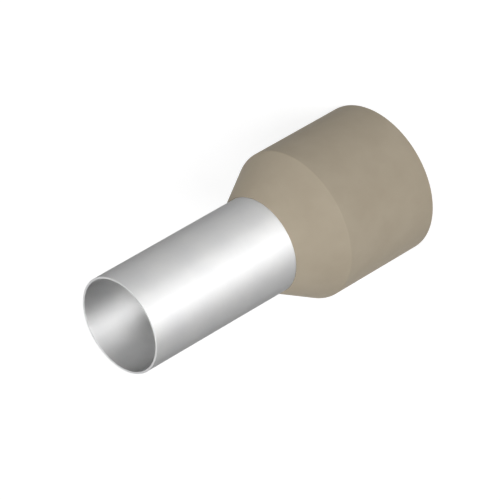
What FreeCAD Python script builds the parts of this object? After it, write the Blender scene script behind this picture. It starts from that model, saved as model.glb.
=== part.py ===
"""Insulated wire ferrule: a flared metal sleeve held in an insulating collar.

The ferrule stands on the open rear rim of its collar, in the plane z = 0, and the mouth of the
sleeve points up along +Z. Both pieces are turned about the Z axis. Lengths are in millimetres
and angles in degrees.
"""

import FreeCAD, Part
import os
import Sketcher

SIZES = {
    # metal sleeve
    "sleeve_bore": 8.3,  # inside diameter, for the bare strands
    "sleeve_wall": 0.2,  # thickness of the metal
    "projecting_length": 16.0,  # bare sleeve in front of the collar
    "mouth_rounding": 0.05,  # both edges of the mouth
    # insulating collar
    "collar_length": 14.0,  # rear rim to front edge
    "collar_wall": 0.4,  # thickness of the skirt
    "insulation_room": 2.0,  # step from the sleeve out to the bore of the skirt
    "cone_angle": 29.5,  # slope of the cone against the axis
    "front_lip": 0.05,  # thickness of the front edge
    "shoulder_radius": 0.3,  # between cone and skirt, outside and inside
    "rim_rounding": 0.1,  # rear rim, outer edge
    "rim_lead_in": 0.15,  # rear rim, bevel of the inner edge
    # seat of the sleeve in the collar
    "grip_length": 0.7,  # front edge back to the corner where the funnel starts
    "bend_radius": 1.0,  # rounding of that corner, over which the funnel bends
    "seat_gap": 0.01,  # sleeve to collar, all along the seat
    "funnel_clearance": 0.55,  # rim of the funnel to the bore of the skirt
}

# Sizes that follow from those above
SLEEVE_BORE_RADIUS = "(Sizes.sleeve_bore / 2)"
SLEEVE_RADIUS = f"({SLEEVE_BORE_RADIUS} + Sizes.sleeve_wall)"
SEAT_RADIUS = f"({SLEEVE_RADIUS} + Sizes.seat_gap)"
SKIRT_BORE_RADIUS = f"({SLEEVE_RADIUS} + Sizes.insulation_room)"
SKIRT_RADIUS = f"({SKIRT_BORE_RADIUS} + Sizes.collar_wall)"
FUNNEL_RADIUS = f"({SKIRT_BORE_RADIUS} - Sizes.funnel_clearance)"
MOUTH_HEIGHT = "(Sizes.collar_length + Sizes.projecting_length)"
SEAT_HEIGHT = "(Sizes.collar_length - Sizes.grip_length)"
BEND_HEIGHT = f"({SEAT_HEIGHT} - Sizes.seat_gap * tan(Sizes.cone_angle / 2))"
OUTER_BEND_RADIUS = "(Sizes.bend_radius + Sizes.seat_gap)"
INNER_BEND_RADIUS = f"({OUTER_BEND_RADIUS} + Sizes.sleeve_wall)"

# The rounded and bevelled edges leave at least a third of the wall between them
MOUTH_ROUNDING = "min(Sizes.mouth_rounding; Sizes.sleeve_wall / 3)"
RIM_ROUNDING = "min(Sizes.rim_rounding; Sizes.collar_wall / 4)"
RIM_LEAD_IN = "min(Sizes.rim_lead_in; Sizes.collar_wall * 3 / 8)"

# How a sketch numbers the ends of a line, its own origin and its horizontal axis
START, END = 1, 2
ORIGIN = (-1, START)
HORIZONTAL_AXIS = -1

SAME_PLACE = 1e-6  # how near an edge lies to the corner that swept it


def write_sizes(document):
    """Keep the driving dimensions in a sheet, one alias each."""
    sheet = document.addObject("Spreadsheet::Sheet", "Sizes")
    for row, (name, value) in enumerate(SIZES.items(), start=1):
        sheet.set(f"A{row}", name)
        sheet.set(f"B{row}", str(value))
        sheet.setAlias(f"B{row}", name)
    document.recompute()


def start_body(document, label):
    """Start a body with an empty sketch on its XZ plane: x is the radius, y the height."""
    body = document.addObject("PartDesign::Body", label)
    body.Label = label
    body.Placement = FreeCAD.Placement()
    plane = next(item for item in body.Origin.OriginFeatures if item.Role == "XZ_Plane")
    sketch = body.newObject("Sketcher::SketchObject", f"{label}_profile")
    sketch.AttachmentSupport = (plane, "")
    sketch.MapMode = "FlatFace"
    return body, sketch


def draw_outline(sketch, corners):
    """Draw a closed outline near its final place, so that line n starts at corner n."""
    points = [
        FreeCAD.Vector(sketch.evalExpression(radius), sketch.evalExpression(height), 0)
        for radius, height in corners
    ]
    for start, end in zip(points, points[1:] + points[:1]):
        sketch.addGeometry(Part.LineSegment(start, end), False)
    for line in range(len(points)):
        following = (line + 1) % len(points)
        sketch.addConstraint(Sketcher.Constraint("Coincident", line, END, following, START))


def relate(sketch, *relations):
    """Add relations that need no size, such as ("Vertical", 1) or ("Parallel", 2, 4)."""
    for relation in relations:
        sketch.addConstraint(Sketcher.Constraint(*relation))


def bind(sketch, name, kind, references, expression):
    """Add a named dimension whose value comes from the sheet."""
    value = FreeCAD.Units.Quantity(sketch.evalExpression(expression))
    if kind == "Angle":
        value = FreeCAD.Units.Quantity(value.Value, FreeCAD.Units.Angle).getValueAs("rad")
    index = sketch.addConstraint(Sketcher.Constraint(kind, *references, value.Value))
    sketch.renameConstraint(index, name)
    sketch.setExpression(f"Constraints.{name}", expression)


def bind_radius(sketch, name, corner, expression):
    """Set the distance of a corner from the axis."""
    bind(sketch, name, "DistanceX", (*ORIGIN, corner, START), expression)


def bind_height(sketch, name, corner, expression):
    """Set the height of a corner above the rear rim."""
    bind(sketch, name, "DistanceY", (*ORIGIN, corner, START), expression)


def round_corner(sketch, name, corner, expression):
    """Round a corner with an arc that is tangent to both of its lines."""
    arc = sketch.GeometryCount
    start_radius = sketch.evalExpression(expression)
    keep_corner_point = True
    sketch.fillet(corner, START, start_radius, True, keep_corner_point)
    bind(sketch, name, "Radius", (arc,), expression)


def revolve(body, sketch):
    """Turn the profile a full circle about the Z axis."""
    turned = body.newObject("PartDesign::Revolution", f"{body.Label}_turned")
    turned.Profile = (sketch, [""])
    turned.ReferenceAxis = (sketch, ["V_Axis"])
    turned.Angle = 360
    body.Document.recompute()


def circle_at(shape, corner):
    """Name the circular edge that a corner of the profile has swept."""
    for number, edge in enumerate(shape.Edges, start=1):
        curve = edge.Curve
        if not isinstance(curve, Part.Circle):
            continue
        same_radius = abs(curve.Radius - corner.x) < SAME_PLACE
        same_height = abs(curve.Center.z - corner.y) < SAME_PLACE
        if same_radius and same_height:
            return f"Edge{number}"
    raise ValueError(f"no circular edge at radius {corner.x}, height {corner.y}")


def dress_edges(body, sketch, kind, name, corners, expression):
    """Round ("Fillet") or bevel ("Chamfer") the edges that corners of the profile have swept."""
    base = body.Tip
    points = [sketch.Geometry[corner].StartPoint for corner in corners]
    dressed = body.newObject(f"PartDesign::{kind}", f"{body.Label}_{name}")
    dressed.Base = (base, [circle_at(base.Shape, point) for point in points])
    dressed.setExpression("Radius" if kind == "Fillet" else "Size", expression)
    body.Document.recompute()


def build_sleeve(document):
    """Drawn tube whose rear end is bent outwards into a funnel behind the collar's seat."""
    body, sketch = start_body(document, "metal_sleeve")
    mouth, wall, funnel, funnel_rim, funnel_inside, bore = range(6)
    funnel_depth = f"({FUNNEL_RADIUS} - {SLEEVE_RADIUS}) / tan(Sizes.cone_angle)"
    corners = [
        (SLEEVE_BORE_RADIUS, MOUTH_HEIGHT),
        (SLEEVE_RADIUS, MOUTH_HEIGHT),
        (SLEEVE_RADIUS, BEND_HEIGHT),
        (FUNNEL_RADIUS, f"{BEND_HEIGHT} - {funnel_depth}"),
        (f"{FUNNEL_RADIUS} - Sizes.sleeve_wall", f"{BEND_HEIGHT} - {funnel_depth}"),
        (SLEEVE_BORE_RADIUS, BEND_HEIGHT),
    ]
    draw_outline(sketch, corners)
    relate(
        sketch,
        ("Horizontal", mouth),
        ("Vertical", wall),
        ("Perpendicular", funnel, funnel_rim),
        ("Parallel", funnel, funnel_inside),
        ("Vertical", bore),
    )
    bind_radius(sketch, "bore_radius", mouth, SLEEVE_BORE_RADIUS)
    bind_radius(sketch, "outside_radius", wall, SLEEVE_RADIUS)
    bind_radius(sketch, "funnel_radius", funnel_rim, FUNNEL_RADIUS)
    bind_height(sketch, "mouth_height", mouth, MOUTH_HEIGHT)
    bind_height(sketch, "bend_height", funnel, BEND_HEIGHT)
    bind(sketch, "funnel_wall", "Distance", (funnel_rim,), "Sizes.sleeve_wall")
    bind(sketch, "funnel_angle", "Angle", (wall, funnel), "Sizes.cone_angle")
    round_corner(sketch, "outer_bend", funnel, OUTER_BEND_RADIUS)
    round_corner(sketch, "inner_bend", bore, INNER_BEND_RADIUS)
    document.recompute()
    revolve(body, sketch)
    dress_edges(body, sketch, "Fillet", "mouth_edges", [mouth, wall], MOUTH_ROUNDING)
    return body


def build_collar(document):
    """Moulded collar: a wide skirt for the insulation, a cone, and the seat of the sleeve."""
    body, sketch = start_body(document, "insulating_collar")
    rim, skirt, cone, front, seat, cone_inside, bore = range(7)
    cone_depth = f"({SKIRT_RADIUS} - {SEAT_RADIUS}) / tan(Sizes.cone_angle)"
    corners = [
        (SKIRT_BORE_RADIUS, "0"),
        (SKIRT_RADIUS, "0"),
        (SKIRT_RADIUS, f"Sizes.collar_length - {cone_depth}"),
        (f"{SEAT_RADIUS} + Sizes.front_lip", "Sizes.collar_length"),
        (SEAT_RADIUS, "Sizes.collar_length"),
        (SEAT_RADIUS, SEAT_HEIGHT),
        (SKIRT_BORE_RADIUS, f"{SEAT_HEIGHT} - {cone_depth}"),
    ]
    draw_outline(sketch, corners)
    relate(
        sketch,
        ("PointOnObject", rim, START, HORIZONTAL_AXIS),
        ("Horizontal", rim),
        ("Vertical", skirt),
        ("Horizontal", front),
        ("Vertical", seat),
        ("Parallel", cone, cone_inside),
        ("Vertical", bore),
    )
    bind_radius(sketch, "bore_radius", rim, SKIRT_BORE_RADIUS)
    bind_radius(sketch, "outside_radius", skirt, SKIRT_RADIUS)
    bind_radius(sketch, "seat_radius", seat, SEAT_RADIUS)
    bind_height(sketch, "length", front, "Sizes.collar_length")
    bind_height(sketch, "seat_height", cone_inside, SEAT_HEIGHT)
    bind(sketch, "front_lip", "Distance", (front,), "Sizes.front_lip")
    bind(sketch, "cone_slope", "Angle", (skirt, cone), "Sizes.cone_angle")
    round_corner(sketch, "outer_shoulder", cone, "Sizes.shoulder_radius")
    round_corner(sketch, "inner_shoulder", bore, "Sizes.shoulder_radius")
    round_corner(sketch, "seat_edge", cone_inside, "Sizes.bend_radius")
    document.recompute()
    revolve(body, sketch)
    dress_edges(body, sketch, "Fillet", "rim_rounding", [skirt], RIM_ROUNDING)
    dress_edges(body, sketch, "Chamfer", "rim_lead_in", [rim], RIM_LEAD_IN)
    return body


def check(document, bodies):
    """Stop if any object failed, a sketch is loose or a body isn't one valid solid."""
    for item in document.Objects:
        if "Invalid" in item.State or "Error" in item.State:
            raise RuntimeError(f"{item.Label} failed: {item.State}")
        if item.TypeId == "Sketcher::SketchObject" and not item.FullyConstrained:
            raise RuntimeError(f"{item.Label} isn't fully constrained")
    for body in bodies:
        if body.Shape.isNull() or not body.Shape.isValid() or len(body.Shape.Solids) != 1:
            raise RuntimeError(f"{body.Label} isn't one valid solid")


def main():
    """Build the ferrule and write one file for each piece."""
    document = FreeCAD.newDocument("WireFerrule")
    write_sizes(document)
    bodies = [build_sleeve(document), build_collar(document)]
    document.recompute()
    check(document, bodies)
    os.makedirs("parts", exist_ok=True)
    for body in bodies:
        body.Shape.exportStep(f"parts/{body.Label}.step")
        print(body.Label, f"{body.Shape.Volume:.3f} mm3")


main()
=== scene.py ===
"""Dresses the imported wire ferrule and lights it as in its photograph.

A thin tinned copper tube is flared inside a moulded plastic collar. Both pieces are modelled
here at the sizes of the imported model, pulled ring by ring from a circle about the Z axis, and
they stand on the open rear rim of the collar. Lengths are in metres, angles in degrees.
"""

import logging
import math
from dataclasses import dataclass
from enum import Enum
from typing import Optional

import bmesh
import bpy
from mathutils import Matrix, Vector


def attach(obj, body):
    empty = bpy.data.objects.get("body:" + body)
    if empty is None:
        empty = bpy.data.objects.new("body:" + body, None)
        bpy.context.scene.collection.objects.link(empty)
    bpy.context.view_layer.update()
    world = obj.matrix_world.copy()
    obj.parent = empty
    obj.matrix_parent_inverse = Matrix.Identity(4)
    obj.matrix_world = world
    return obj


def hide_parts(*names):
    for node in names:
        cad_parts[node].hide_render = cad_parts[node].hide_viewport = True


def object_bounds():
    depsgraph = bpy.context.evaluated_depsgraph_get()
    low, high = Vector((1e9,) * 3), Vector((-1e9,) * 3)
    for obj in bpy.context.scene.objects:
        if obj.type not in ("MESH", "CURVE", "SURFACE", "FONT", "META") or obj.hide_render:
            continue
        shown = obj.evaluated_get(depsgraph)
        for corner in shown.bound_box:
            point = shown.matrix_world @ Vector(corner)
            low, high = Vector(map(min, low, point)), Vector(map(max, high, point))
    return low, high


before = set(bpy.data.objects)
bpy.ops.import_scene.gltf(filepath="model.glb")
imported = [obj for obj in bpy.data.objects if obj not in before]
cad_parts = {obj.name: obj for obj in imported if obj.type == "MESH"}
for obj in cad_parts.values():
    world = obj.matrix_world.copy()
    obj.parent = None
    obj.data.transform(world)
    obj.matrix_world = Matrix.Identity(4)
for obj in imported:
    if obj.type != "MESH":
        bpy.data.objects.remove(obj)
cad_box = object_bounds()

Socket = bpy.types.NodeSocket
Triple = tuple[float, float, float]
Span = tuple[float, float]

MM = 0.001
BODY = "root"
ROUND_SIDES = 256  # sides of every turned ring
SAME_PLACE = 0.002 * MM  # how near two points are taken as one
TOP_FACES = 0.53  # least upward part of the normal of a face that looks up
ARC_PROFILE = 0.5  # the profile of a bevel that follows an arc
FACE_WEIGHT = 100  # lets the large faces lead the shading as far as they can
FULL_RANGE = (0.0, 1.0)
NOISE_MIDDLE = (0.3, 0.7)  # where most of a noise pattern's values lie

log = logging.getLogger("wire_ferrule")


class Node(Enum):
    """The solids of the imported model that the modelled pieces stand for."""

    SLEEVE = "metal_sleeve"
    COLLAR = "insulating_collar"


class Slot(Enum):
    """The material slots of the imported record."""

    METAL = "tinned_copper"
    PLASTIC = "collar_plastic"


class Edge(Enum):
    """How the corner at a ring is dressed."""

    SHARP = "left as it is"
    ROUND = "rounded to an arc"
    BEVEL = "cut flat"


class Ease(Enum):
    """How a mapped value runs from one end of its range to the other."""

    STRAIGHT = "LINEAR"
    SMOOTH = "SMOOTHSTEP"


class Output(Enum):
    """The node that a tree of nodes ends in."""

    MATERIAL = "ShaderNodeOutputMaterial"
    WORLD = "ShaderNodeOutputWorld"


@dataclass(frozen=True)
class Pattern:
    """A noise pattern that lies in a finish."""

    size: Triple  # the length of its patches along X, Y and Z
    detail: float  # how many finer layers it has
    rough: float  # how strong the finer layers are
    depth: float = 0.0  # how deep its relief is, where it has one


class Wiring:
    """The nodes of a material or of a world, added and linked step by step."""

    def __init__(self, owner: bpy.types.Material | bpy.types.World) -> None:
        """Start without a node.

        Args:
            owner: What the nodes belong to.
        """
        owner.use_nodes = True
        self.owner = owner
        self.tree = owner.node_tree
        self.tree.nodes.clear()

    def add(self, kind: str, **settings: object) -> bpy.types.Node:
        """Add a node.

        Args:
            kind: Blender's name of the node type.
            **settings: Properties of the node.

        Returns:
            The new node.
        """
        node = self.tree.nodes.new(kind)
        for key, value in settings.items():
            setattr(node, key, value)
        return node

    def link(self, source: Socket, target: Socket) -> None:
        """Link an output to an input."""
        self.tree.links.new(source, target)

    def combine(self, operation: str, first: Socket, second: Socket) -> Socket:
        """Work out one value from two.

        Args:
            operation: Blender's name of the operation.
            first: One value.
            second: The other value.

        Returns:
            The result.
        """
        node = self.add("ShaderNodeMath", operation=operation)
        for place, value in enumerate((first, second)):
            self.link(value, node.inputs[place])
        return node.outputs["Value"]

    def ramp(self, value: Socket, start: Span, end: Span, ease: Ease = Ease.STRAIGHT) -> Socket:
        """Map one range of a value onto another.

        Args:
            value: The value, which is held at the ends of its range.
            start: The range that it has.
            end: The range that it gets.
            ease: How it runs from end to end.

        Returns:
            The mapped value.
        """
        node = self.add("ShaderNodeMapRange", interpolation_type=ease.value)
        for socket, number in zip(("From Min", "From Max", "To Min", "To Max"), (*start, *end)):
            node.inputs[socket].default_value = number
        self.link(value, node.inputs["Value"])
        return node.outputs["Result"]

    def noise(self, pattern: Pattern) -> Socket:
        """Lay a noise pattern on the piece.

        Args:
            pattern: The pattern.

        Returns:
            Its value, from 0 to 1.
        """
        place = self.add("ShaderNodeMapping")
        place.inputs["Scale"].default_value = tuple(1 / length for length in pattern.size)
        self.link(self.add("ShaderNodeTexCoord").outputs["Object"], place.inputs["Vector"])
        noise = self.add("ShaderNodeTexNoise")
        noise.inputs["Scale"].default_value = 1.0
        noise.inputs["Detail"].default_value = pattern.detail
        noise.inputs["Roughness"].default_value = pattern.rough
        self.link(place.outputs["Vector"], noise.inputs["Vector"])
        return noise.outputs["Fac"]

    def tint(self, value: Socket, dark: Triple, light: Triple) -> Socket:
        """Blend two colours by a noise pattern.

        Args:
            value: The pattern's value.
            dark: The colour at its low end.
            light: The colour at its high end.

        Returns:
            The blended colour.
        """
        mix = self.add("ShaderNodeMix", data_type="RGBA")
        mix.inputs["A"].default_value = (*dark, 1.0)
        mix.inputs["B"].default_value = (*light, 1.0)
        self.link(self.ramp(value, NOISE_MIDDLE, FULL_RANGE), mix.inputs["Factor"])
        return mix.outputs["Result"]

    def relief(self, value: Socket, depth: float, under: Optional[Socket] = None) -> Socket:
        """Turn a noise pattern into a relief.

        Args:
            value: The pattern's value.
            depth: How deep the relief is.
            under: A coarser relief that it lies on.

        Returns:
            The bent normal.
        """
        bump = self.add("ShaderNodeBump")
        bump.inputs["Strength"].default_value = 1.0
        bump.inputs["Distance"].default_value = depth
        self.link(value, bump.inputs["Height"])
        if under is not None:
            self.link(under, bump.inputs["Normal"])
        return bump.outputs["Normal"]

    def close(self, shader: bpy.types.Node, output: Output) -> None:
        """End the nodes in an output.

        Args:
            shader: The last shader node.
            output: The kind of output.
        """
        self.link(shader.outputs[0], self.add(output.value).inputs["Surface"])


@dataclass(frozen=True)
class TinPlate:
    """Satin tin plating: pale grey metal with fine lines round the tube."""

    name: str = "tin_plate"
    dark: Triple = (0.895, 0.897, 0.90)
    light: Triple = (0.935, 0.935, 0.93)
    grazing: Triple = (0.06, 0.06, 0.06)  # what tints it at a grazing angle
    roughness: Span = (0.70, 0.74)
    spread_along: float = 0.81  # how far its gloss is drawn out along the tube
    spread_turn: float = 0.25  # of a whole turn, from round the tube to along it
    lines: Pattern = Pattern((6.0 * MM, 6.0 * MM, 0.05 * MM), detail=3.0, rough=0.55, depth=0.0003 * MM)
    clouds: Pattern = Pattern((2.2 * MM,) * 3, detail=4.0, rough=0.5)
    grain: Pattern = Pattern((0.06 * MM,) * 3, detail=2.0, rough=0.5, depth=0.0003 * MM)

    def material(self) -> bpy.types.Material:
        """Build the finish.

        Returns:
            The material.
        """
        wiring = Wiring(bpy.data.materials.new(self.name))
        lines, clouds, grain = (wiring.noise(part) for part in (self.lines, self.clouds, self.grain))
        metal = wiring.add("ShaderNodeBsdfPrincipled", distribution="MULTI_GGX")
        metal.inputs["Metallic"].default_value = 1.0
        metal.inputs["Specular Tint"].default_value = (*self.grazing, 1.0)
        metal.inputs["Anisotropic"].default_value = self.spread_along
        metal.inputs["Anisotropic Rotation"].default_value = self.spread_turn
        tangent = wiring.add("ShaderNodeTangent", direction_type="RADIAL", axis="Z")
        wiring.link(tangent.outputs["Tangent"], metal.inputs["Tangent"])
        wiring.link(wiring.tint(clouds, self.dark, self.light), metal.inputs["Base Color"])
        wiring.link(wiring.ramp(lines, NOISE_MIDDLE, self.roughness), metal.inputs["Roughness"])
        relief = wiring.relief(lines, self.lines.depth)
        wiring.link(wiring.relief(grain, self.grain.depth, under=relief), metal.inputs["Normal"])
        wiring.close(metal, Output.MATERIAL)
        return wiring.owner


@dataclass(frozen=True)
class MouldedPlastic:
    """Matt polyamide, grey-brown, with the fine skin of an eroded mould."""

    name: str = "moulded_plastic"
    dark: Triple = (0.405, 0.350, 0.267)
    light: Triple = (0.432, 0.376, 0.291)
    roughness: Span = (0.58, 0.68)
    mattness: float = 0.35  # how evenly it scatters light, so that its sides look flat
    specular_level: float = 0.2
    specular_tint: Triple = (0.40, 0.39, 0.37)
    clouds: Pattern = Pattern((2.4 * MM,) * 3, detail=3.0, rough=0.5)
    flow: Pattern = Pattern((0.6 * MM,) * 3, detail=2.0, rough=0.5, depth=0.001 * MM)
    skin: Pattern = Pattern((0.11 * MM,) * 3, detail=3.0, rough=0.6, depth=0.0022 * MM)

    def material(self) -> bpy.types.Material:
        """Build the finish.

        Returns:
            The material.
        """
        wiring = Wiring(bpy.data.materials.new(self.name))
        clouds, flow, skin = (wiring.noise(part) for part in (self.clouds, self.flow, self.skin))
        plastic = wiring.add("ShaderNodeBsdfPrincipled")
        plastic.inputs["Diffuse Roughness"].default_value = self.mattness
        plastic.inputs["Specular IOR Level"].default_value = self.specular_level
        plastic.inputs["Specular Tint"].default_value = (*self.specular_tint, 1.0)
        wiring.link(wiring.tint(clouds, self.dark, self.light), plastic.inputs["Base Color"])
        wiring.link(wiring.ramp(skin, NOISE_MIDDLE, self.roughness), plastic.inputs["Roughness"])
        relief = wiring.relief(flow, self.flow.depth)
        wiring.link(wiring.relief(skin, self.skin.depth, under=relief), plastic.inputs["Normal"])
        wiring.close(plastic, Output.MATERIAL)
        return wiring.owner


@dataclass(frozen=True)
class PaleFloor:
    """A plain pale floor that looks white to the eye and to mirrors, less its shadows."""

    name: str = "pale_floor"
    colour: Triple = (0.40, 0.40, 0.40)
    glow: Span = (0.76, 1.0)  # near the object and far away
    glow_reach: Span = (0.12, 0.60)  # the distances between which it rises

    def material(self) -> bpy.types.Material:
        """Build the finish.

        Returns:
            The material.
        """
        wiring = Wiring(bpy.data.materials.new(self.name))
        matt = wiring.add("ShaderNodeBsdfDiffuse")
        matt.inputs["Color"].default_value = (*self.colour, 1.0)
        path = wiring.add("ShaderNodeLightPath")
        seen = path.outputs["Is Camera Ray"]
        for ray in ("Is Glossy Ray", "Is Transmission Ray"):
            seen = wiring.combine("MAXIMUM", seen, path.outputs[ray])
        distance = wiring.add("ShaderNodeVectorMath", operation="LENGTH")
        wiring.link(wiring.add("ShaderNodeTexCoord").outputs["Object"], distance.inputs[0])
        rise = wiring.ramp(distance.outputs["Value"], self.glow_reach, self.glow, Ease.SMOOTH)
        glow = wiring.add("ShaderNodeEmission")
        wiring.link(wiring.combine("MULTIPLY", seen, rise), glow.inputs["Strength"])
        both = wiring.add("ShaderNodeAddShader")
        for place, layer in enumerate((matt, glow)):
            wiring.link(layer.outputs[0], both.inputs[place])
        wiring.close(both, Output.MATERIAL)
        return wiring.owner


@dataclass(frozen=True)
class Ring:
    """A ring about the Z axis at which a turned wall changes its direction."""

    radius: float
    height: float
    edge: Edge = Edge.SHARP
    size: float = 0.0  # an arc's radius or a bevel's leg
    steps: int = 1  # how many faces dress the corner


class TurnedWall:
    """A closed round wall, pulled ring by ring from a circle and dressed at its corners."""

    def __init__(self, name: str, rings: list[Ring]) -> None:
        """Model the wall.

        Args:
            name: The piece's name.
            rings: Its corners in order round the wall's section.
        """
        self.rings = rings
        bpy.ops.object.select_all(action="DESELECT")
        bpy.ops.mesh.primitive_circle_add(
            vertices=ROUND_SIDES,
            radius=rings[0].radius,
            fill_type="NOTHING",
            location=(0.0, 0.0, rings[0].height),
        )
        self.piece = bpy.context.object
        self.piece.name = self.piece.data.name = name
        bpy.ops.object.transform_apply(location=True, rotation=True, scale=True)
        bpy.ops.object.mode_set(mode="EDIT")
        bpy.ops.mesh.select_mode(type="EDGE")
        bpy.ops.mesh.select_all(action="SELECT")
        for before, after in zip(rings, rings[1:] + rings[:1]):
            self.pull(before, after)
        bpy.ops.mesh.select_all(action="SELECT")
        bpy.ops.mesh.remove_doubles(threshold=SAME_PLACE)
        bpy.ops.mesh.normals_make_consistent(inside=False)
        for ring in rings:
            if ring.edge is not Edge.SHARP:
                self.dress(ring)
        bpy.ops.object.mode_set(mode="OBJECT")

    def pull(self, before: Ring, after: Ring) -> None:
        """Extrude the selected ring to the next one.

        Args:
            before: Where the selected ring is.
            after: Where it goes.
        """
        rise = after.height - before.height
        bpy.ops.mesh.extrude_region_move(TRANSFORM_OT_translate={"value": (0.0, 0.0, rise)})
        widen = after.radius / before.radius
        bpy.ops.transform.resize(
            value=(widen, widen, 1.0), center_override=(0.0, 0.0, after.height)
        )

    def select(self, ring: Ring) -> None:
        """Select the edges of one ring by their place.

        Args:
            ring: The ring.
        """
        bpy.ops.mesh.select_all(action="DESELECT")
        mesh = bmesh.from_edit_mesh(self.piece.data)
        for edge in mesh.edges:
            places = [
                (Vector(end.co[:2]).length - ring.radius, end.co.z - ring.height)
                for end in edge.verts
            ]
            if all(math.hypot(*place) < SAME_PLACE for place in places):
                edge.select_set(True)
        bmesh.update_edit_mesh(self.piece.data)

    def dress(self, ring: Ring) -> None:
        """Round or bevel the corner at a ring.

        Args:
            ring: The ring.
        """
        self.select(ring)
        leg = ring.size * math.tan(self.turn(ring) / 2) if ring.edge is Edge.ROUND else ring.size
        bpy.ops.mesh.bevel(
            offset_type="OFFSET",
            offset=leg,
            segments=ring.steps,
            profile=ARC_PROFILE,
            affect="EDGES",
        )

    def turn(self, ring: Ring) -> float:
        """Give the angle by which the section turns at a ring.

        Args:
            ring: One of the wall's rings.

        Returns:
            The angle in radians.
        """
        place = self.rings.index(ring)
        before, after = self.rings[place - 1], self.rings[(place + 1) % len(self.rings)]
        arriving = Vector((ring.radius - before.radius, ring.height - before.height))
        leaving = Vector((after.radius - ring.radius, after.height - ring.height))
        return arriving.angle(leaving)

    def coat_top(self, material: bpy.types.Material) -> None:
        """Give the faces that look up a finish of their own.

        Args:
            material: The finish.
        """
        self.piece.data.materials.append(material)
        self.piece.active_material_index = len(self.piece.data.materials) - 1
        bpy.ops.object.mode_set(mode="EDIT")
        bpy.ops.mesh.select_mode(type="FACE")
        bpy.ops.mesh.select_all(action="DESELECT")
        mesh = bmesh.from_edit_mesh(self.piece.data)
        for face in mesh.faces:
            face.select_set(face.normal.z > TOP_FACES)
        bmesh.update_edit_mesh(self.piece.data)
        bpy.ops.object.material_slot_assign()
        bpy.ops.object.mode_set(mode="OBJECT")

    def finish(
        self,
        sharp_from: float,
        material: bpy.types.Material,
        top: Optional[bpy.types.Material] = None,
    ) -> bpy.types.Object:
        """Give the wall its finish and smooth the shading of its long faces.

        Args:
            sharp_from: The angle in degrees from which an edge stays sharp.
            material: The finish.
            top: The finish of the faces that look up, where it is another one.

        Returns:
            The finished piece.
        """
        self.piece.data.materials.append(material)
        if top is not None:
            self.coat_top(top)
        bpy.ops.object.shade_smooth_by_angle(angle=math.radians(sharp_from))
        bpy.ops.object.modifier_add(type="WEIGHTED_NORMAL")
        weighted = self.piece.modifiers[-1]
        weighted.keep_sharp = True
        weighted.weight = FACE_WEIGHT
        bpy.ops.object.modifier_apply(modifier=weighted.name)
        return self.piece


def settle(piece: bpy.types.Object, node: Node) -> bpy.types.Object:
    """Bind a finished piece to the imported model.

    Args:
        piece: The piece, in place.
        node: The solid that it stands for.

    Returns:
        The same piece.
    """
    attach(piece, BODY)
    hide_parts(node.value)
    return piece


@dataclass(frozen=True)
class MetalSleeve:
    """The seamless tube, open at its mouth and flared to a funnel inside the collar."""

    bore_radius: float = 4.15 * MM
    wall: float = 0.2 * MM
    mouth_height: float = 30.0 * MM
    mouth_rounding: float = 0.05 * MM
    mouth_steps: int = 4
    bend_height: float = 13.2974 * MM
    outer_bend: float = 1.01 * MM
    bend_steps: int = 8
    funnel_radius: float = 5.8 * MM
    cone_angle: float = 29.5
    sharp_from: float = 50.0
    plating: TinPlate = TinPlate()
    cut_end: TinPlate = TinPlate(name="tin_cut_end", spread_along=0.0)

    def rings(self) -> list[Ring]:
        """Give the corners of the tube's section.

        Returns:
            The rings, up the outside from the funnel's rim and down the inside.
        """
        slope = math.radians(self.cone_angle)
        radius = self.bore_radius + self.wall
        rim_height = self.bend_height - (self.funnel_radius - radius) / math.tan(slope)
        inner_bend_height = self.bend_height - self.wall * math.tan(slope / 2)
        inner_bend = self.outer_bend + self.wall
        mouth = (self.mouth_height, Edge.ROUND, self.mouth_rounding, self.mouth_steps)
        return [
            Ring(self.funnel_radius, rim_height),
            Ring(radius, self.bend_height, Edge.ROUND, self.outer_bend, self.bend_steps),
            Ring(radius, *mouth),
            Ring(self.bore_radius, *mouth),
            Ring(self.bore_radius, inner_bend_height, Edge.ROUND, inner_bend, self.bend_steps),
            Ring(
                self.funnel_radius - self.wall * math.cos(slope),
                rim_height - self.wall * math.sin(slope),
            ),
        ]

    def build(self) -> bpy.types.Object:
        """Model and dress the tube.

        Returns:
            The finished piece.
        """
        wall = TurnedWall("tinned_sleeve", self.rings())
        piece = wall.finish(self.sharp_from, self.plating.material(), self.cut_end.material())
        return settle(piece, Node.SLEEVE)


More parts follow.
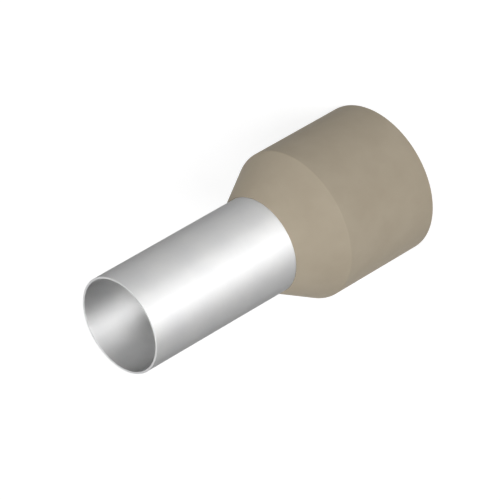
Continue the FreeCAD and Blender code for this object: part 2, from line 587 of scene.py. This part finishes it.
@dataclass(frozen=True)
class InsulatingCollar:
    """The moulded collar: a skirt for the wire's insulation and a cone that grips the tube."""

    skirt_radius: float = 6.75 * MM
    skirt_bore_radius: float = 6.35 * MM
    length: float = 14.0 * MM
    cone_angle: float = 29.5
    seat_radius: float = 4.36 * MM
    front_lip: float = 0.05 * MM
    seat_height: float = 13.3 * MM
    bend_radius: float = 1.0 * MM
    bend_steps: int = 8
    shoulder_radius: float = 0.3 * MM
    shoulder_steps: int = 6
    rim_rounding: float = 0.1 * MM
    rim_steps: int = 4
    rim_lead_in: float = 0.15 * MM
    sharp_from: float = 50.0
    moulding: MouldedPlastic = MouldedPlastic()

    def rings(self) -> list[Ring]:
        """Give the corners of the collar's section.

        Returns:
            The rings, up the outside from the rear rim and down through the seat and the bore.
        """
        rise = 1 / math.tan(math.radians(self.cone_angle))
        lip_radius = self.seat_radius + self.front_lip
        outer_shoulder = self.length - (self.skirt_radius - lip_radius) * rise
        inner_shoulder = self.seat_height - (self.skirt_bore_radius - self.seat_radius) * rise
        shoulder = (Edge.ROUND, self.shoulder_radius, self.shoulder_steps)
        return [
            Ring(self.skirt_radius, 0.0, Edge.ROUND, self.rim_rounding, self.rim_steps),
            Ring(self.skirt_radius, outer_shoulder, *shoulder),
            Ring(lip_radius, self.length),
            Ring(self.seat_radius, self.length),
            Ring(self.seat_radius, self.seat_height, Edge.ROUND, self.bend_radius, self.bend_steps),
            Ring(self.skirt_bore_radius, inner_shoulder, *shoulder),
            Ring(self.skirt_bore_radius, 0.0, Edge.BEVEL, self.rim_lead_in),
        ]

    def build(self) -> bpy.types.Object:
        """Model and dress the collar.

        Returns:
            The finished piece.
        """
        wall = TurnedWall("moulded_collar", self.rings())
        piece = wall.finish(self.sharp_from, self.moulding.material())
        return settle(piece, Node.COLLAR)


@dataclass(frozen=True)
class SoftLamp:
    """A soft rectangular lamp that faces the object."""

    name: str
    azimuth: float  # its side of the object: 0 is the camera's, 90 is at -X
    elevation: float  # its height above the floor, as an angle
    power: float  # in watts
    width: float = 0.30
    height: float = 0.30
    distance: float = 0.9  # from the middle of the object

    def hang(self, middle: Vector) -> bpy.types.Object:
        """Hang the lamp.

        Args:
            middle: The middle of the object.

        Returns:
            The lamp.
        """
        side, up = math.radians(self.azimuth), math.radians(self.elevation)
        away = Vector(
            (-math.sin(side) * math.cos(up), -math.cos(side) * math.cos(up), math.sin(up))
        )
        bpy.ops.object.light_add(
            type="AREA",
            location=middle + away * self.distance,
            rotation=away.to_track_quat("Z", "Y").to_euler(),
        )
        lamp = bpy.context.object
        lamp.name = lamp.data.name = self.name
        lamp.data.shape = "RECTANGLE"
        lamp.data.size, lamp.data.size_y = self.width, self.height
        lamp.data.energy = self.power
        return lamp


@dataclass(frozen=True)
class Studio:
    """The floor, the lamps and the even light round the object."""

    floor_radius: float = 2.0
    floor_sides: int = 96
    floor: PaleFloor = PaleFloor()
    dome_level: float = 0.03  # the light from above
    horizon_level: float = 0.9  # the light from the horizon
    horizon_top: Span = (0.03, 0.08)  # upward parts of the directions between which it fades
    lamps: tuple[SoftLamp, ...] = (
        SoftLamp("key_lamp", azimuth=16.5, elevation=43.0, power=4.7, width=0.26, height=0.50),
        SoftLamp("left_lamp", azimuth=-20.0, elevation=24.0, power=1.65),
        SoftLamp("high_lamp", azimuth=-82.0, elevation=62.0, power=1.05),
        SoftLamp("right_lamp", azimuth=46.0, elevation=38.0, power=1.4),
        SoftLamp("back_lamp", azimuth=180.0, elevation=50.0, power=1.7, width=0.60),
    )

    def lay_floor(self) -> bpy.types.Object:
        """Lay the floor under the rear rim.

        Returns:
            The floor.
        """
        bpy.ops.object.select_all(action="DESELECT")
        bpy.ops.mesh.primitive_circle_add(
            vertices=self.floor_sides, radius=self.floor_radius, fill_type="NGON"
        )
        floor = bpy.context.object
        floor.name = floor.data.name = "studio_floor"
        floor.data.materials.append(self.floor.material())
        return floor

    def raise_dome(self) -> bpy.types.World:
        """Light the room evenly from above, with a pale band at the horizon.

        Returns:
            The room's world.
        """
        world = bpy.data.worlds.new("studio_room")
        bpy.context.scene.world = world
        wiring = Wiring(world)
        split = wiring.add("ShaderNodeSeparateXYZ")
        wiring.link(wiring.add("ShaderNodeTexCoord").outputs["Generated"], split.inputs["Vector"])
        levels = (self.horizon_level, self.dome_level)
        strength = wiring.ramp(split.outputs["Z"], self.horizon_top, levels, Ease.SMOOTH)
        light = wiring.add("ShaderNodeBackground")
        wiring.link(strength, light.inputs["Strength"])
        wiring.close(light, Output.WORLD)
        return world

    def build(self) -> None:
        """Set up the whole studio."""
        self.lay_floor()
        self.raise_dome()
        low, high = cad_box
        for lamp in self.lamps:
            lamp.hang((low + high) / 2)


@dataclass(frozen=True)
class PhotoCamera:
    """The camera of the photograph: an isometric view, rolled so that the tube points down left."""

    elevation: float = 35.2644
    roll: float = -120.0
    lens: float = 312.30  # in millimetres
    sensor: float = 36.0  # in millimetres
    mouth: Triple = (0.0, 0.0, 30.0 * MM)
    mouth_right: float = -10.577 * MM  # how far right of the camera's axis the mouth lies
    mouth_up: float = -6.127 * MM  # how far above it
    mouth_away: float = 351.31 * MM  # how far before it
    clip: Span = (0.01, 10.0)

    def build(self) -> bpy.types.Object:
        """Place the camera so that the tube's mouth lies where the photograph shows it.

        Returns:
            The camera.
        """
        up, turn = math.radians(self.elevation), math.radians(self.roll)
        back = Vector((0.0, -math.cos(up), math.sin(up)))
        level = Vector((1.0, 0.0, 0.0))
        rising = back.cross(level)
        right = math.cos(turn) * level + math.sin(turn) * rising
        top = back.cross(right)
        place = (
            Vector(self.mouth)
            - self.mouth_right * right
            - self.mouth_up * top
            + self.mouth_away * back
        )
        turned = Matrix((right, top, back)).transposed()
        bpy.ops.object.camera_add(location=place, rotation=turned.to_euler())
        camera = bpy.context.object
        camera.name = camera.data.name = "photo_camera"
        camera.data.sensor_width = self.sensor
        camera.data.lens = self.lens
        camera.data.clip_start, camera.data.clip_end = self.clip
        bpy.context.scene.camera = camera
        return camera


def main() -> None:
    """Build the ferrule, the studio and the camera, and report each piece."""
    logging.basicConfig(level=logging.INFO, format="%(name)s: %(message)s")
    bpy.context.scene.view_settings.view_transform = "Standard"
    for part in (MetalSleeve(), InsulatingCollar()):
        piece = part.build()
        log.info("%s: %d faces", piece.name, len(piece.data.polygons))
    Studio().build()
    PhotoCamera().build()


if __name__ == "__main__":
    main()
